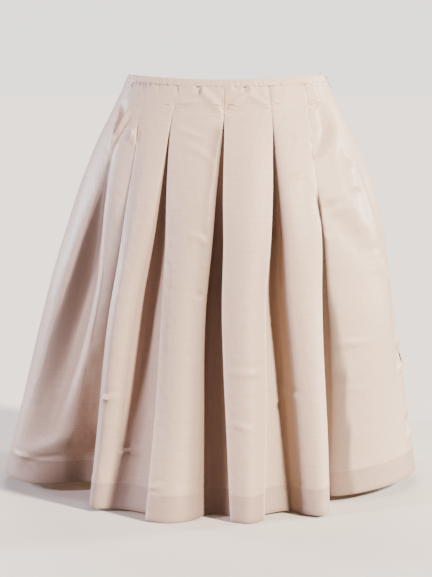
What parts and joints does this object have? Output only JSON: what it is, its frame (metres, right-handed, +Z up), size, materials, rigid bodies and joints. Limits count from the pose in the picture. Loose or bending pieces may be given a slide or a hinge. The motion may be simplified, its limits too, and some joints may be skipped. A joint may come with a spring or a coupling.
{
  "type": "full skirt, filled out as when worn",
  "caption": "Knee-length full skirt of pale taffeta with inverted pleats, a narrow puckered waist, a turned-up hem and a concealed side zip.",
  "frame": {"origin": "centre of the waist opening, level with the waist edge between the sides and the dipped front, where the wearer holds the skirt up", "axes": "+Z up out of the waist; -Y the front; +X the viewer's right and the wearer's left, where the zip is"},
  "size_m": [0.5922, 0.56, 0.5821],
  "materials": {
    "taffeta": "satin",
    "zip_tape": "matt",
    "zip_metal": "satin"
  },
  "bodies": {
    "skirt": {"front_panel": "taffeta", "back_panel": "taffeta", "waist_strip_front": "taffeta", "waist_strip_back": "taffeta", "zip_tape_front": "zip_tape", "zip_tape_back": "zip_tape", "zip_slider": "zip_metal"},
    "pull": {"zip_pull": "zip_metal"}
  },
  "joints": [
    {"name": "pull_hinge", "type": "hinge", "parent": "skirt", "child": "pull", "pos_m": [0.14183, 0, -0.00184], "axis": [0, -1, 0], "range_deg": [0, 150]}
  ]
}
